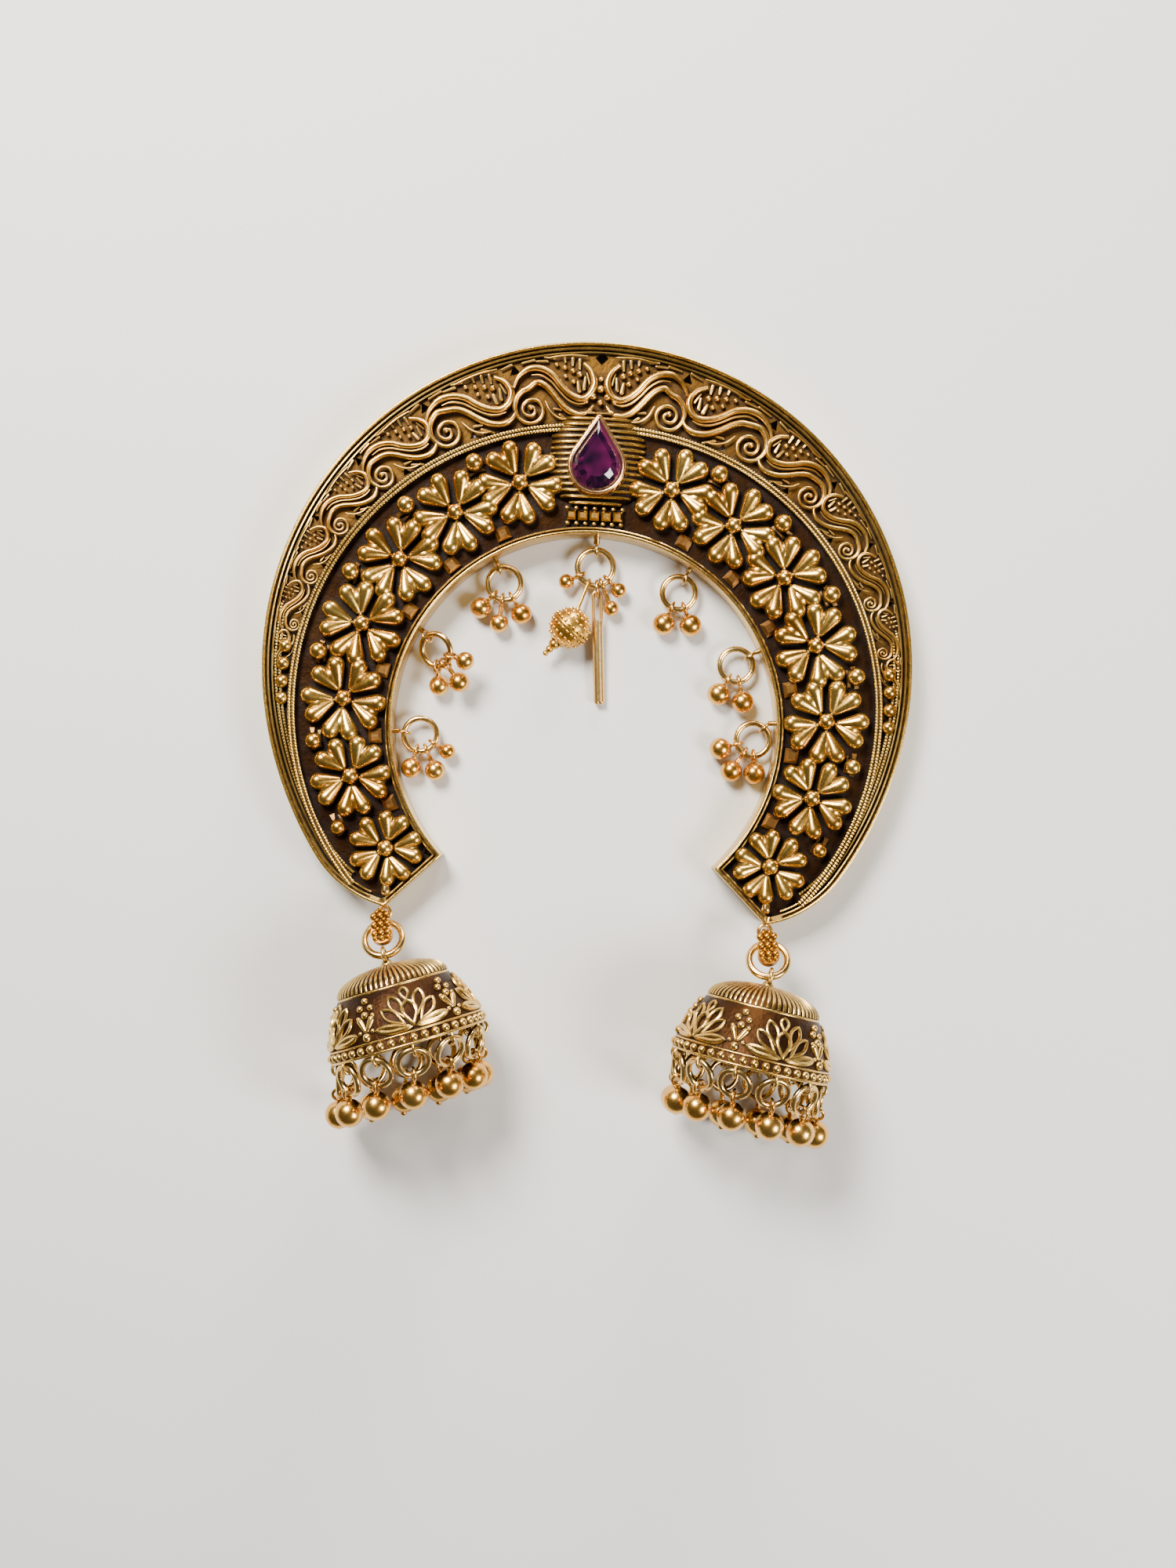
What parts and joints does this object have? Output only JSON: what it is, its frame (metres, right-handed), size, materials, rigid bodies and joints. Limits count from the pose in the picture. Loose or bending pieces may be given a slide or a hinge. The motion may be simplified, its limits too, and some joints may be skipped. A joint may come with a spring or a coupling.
{
  "type": "hair bun ornament",
  "caption": "Horseshoe hair bun ornament of cast flowers and scrolls with a pear stone, beaded charms round its inner rim and dome bells with ball drops hung from its tips.",
  "frame": {"origin": "on the floor under the middle of the whole ornament as it lies on its back", "axes": "+Y towards the top of the horseshoe, away from the bells; +X to the wearer's side that is on the right in the picture; +Z out of the ornament's front"},
  "size_m": [0.0914, 0.112, 0.0223],
  "materials": {
    "antique_gold": "antiqued gold plate, worn bright on the high points and dark brown in the recesses",
    "coppery_gold": "polished gold plate with a coppery tone",
    "stone": "faceted glass stone, dark purple red",
    "clip_steel": "plain spring steel strip"
  },
  "bodies": {
    "root": {"crescent": "antique_gold", "stone": "stone", "hair_clip": "clip_steel", "bail_left": "coppery_gold", "bail_right": "coppery_gold", "tip_ring_left": "antique_gold", "tip_ring_right": "antique_gold", "bell_left": "antique_gold", "bell_right": "antique_gold", "bell_rings_left": "antique_gold", "bell_rings_right": "antique_gold", "bell_ball_left_01": "coppery_gold", "bell_ball_left_02": "coppery_gold", "bell_ball_left_03": "coppery_gold", "bell_ball_left_04": "coppery_gold", "bell_ball_left_05": "coppery_gold", "bell_ball_left_06": "coppery_gold", "bell_ball_left_07": "coppery_gold", "bell_ball_left_08": "coppery_gold", "bell_ball_left_09": "coppery_gold", "bell_ball_left_10": "coppery_gold", "bell_ball_left_11": "coppery_gold", "bell_ball_left_12": "coppery_gold", "bell_ball_right_01": "coppery_gold", "bell_ball_right_02": "coppery_gold", "bell_ball_right_03": "coppery_gold", "bell_ball_right_04": "coppery_gold", "bell_ball_right_05": "coppery_gold", "bell_ball_right_06": "coppery_gold", "bell_ball_right_07": "coppery_gold", "bell_ball_right_08": "coppery_gold", "bell_ball_right_09": "coppery_gold", "bell_ball_right_10": "coppery_gold", "bell_ball_right_11": "coppery_gold", "bell_ball_right_12": "coppery_gold", "charm_ring_upper_left": "antique_gold", "charm_ring_upper_right": "antique_gold", "charm_ring_middle_left": "antique_gold", "charm_ring_middle_right": "antique_gold", "charm_ring_lower_left": "antique_gold", "charm_ring_lower_right": "antique_gold", "charm_beads_upper_left": "coppery_gold", "charm_beads_upper_right": "coppery_gold", "charm_beads_middle_left": "coppery_gold", "charm_beads_middle_right": "coppery_gold", "charm_beads_lower_left": "coppery_gold", "charm_beads_lower_right": "coppery_gold", "centre_ring": "antique_gold", "centre_beads": "coppery_gold", "granulated_ball": "coppery_gold", "centre_link": "antique_gold", "centre_rod": "coppery_gold"}
  },
  "joints": []
}
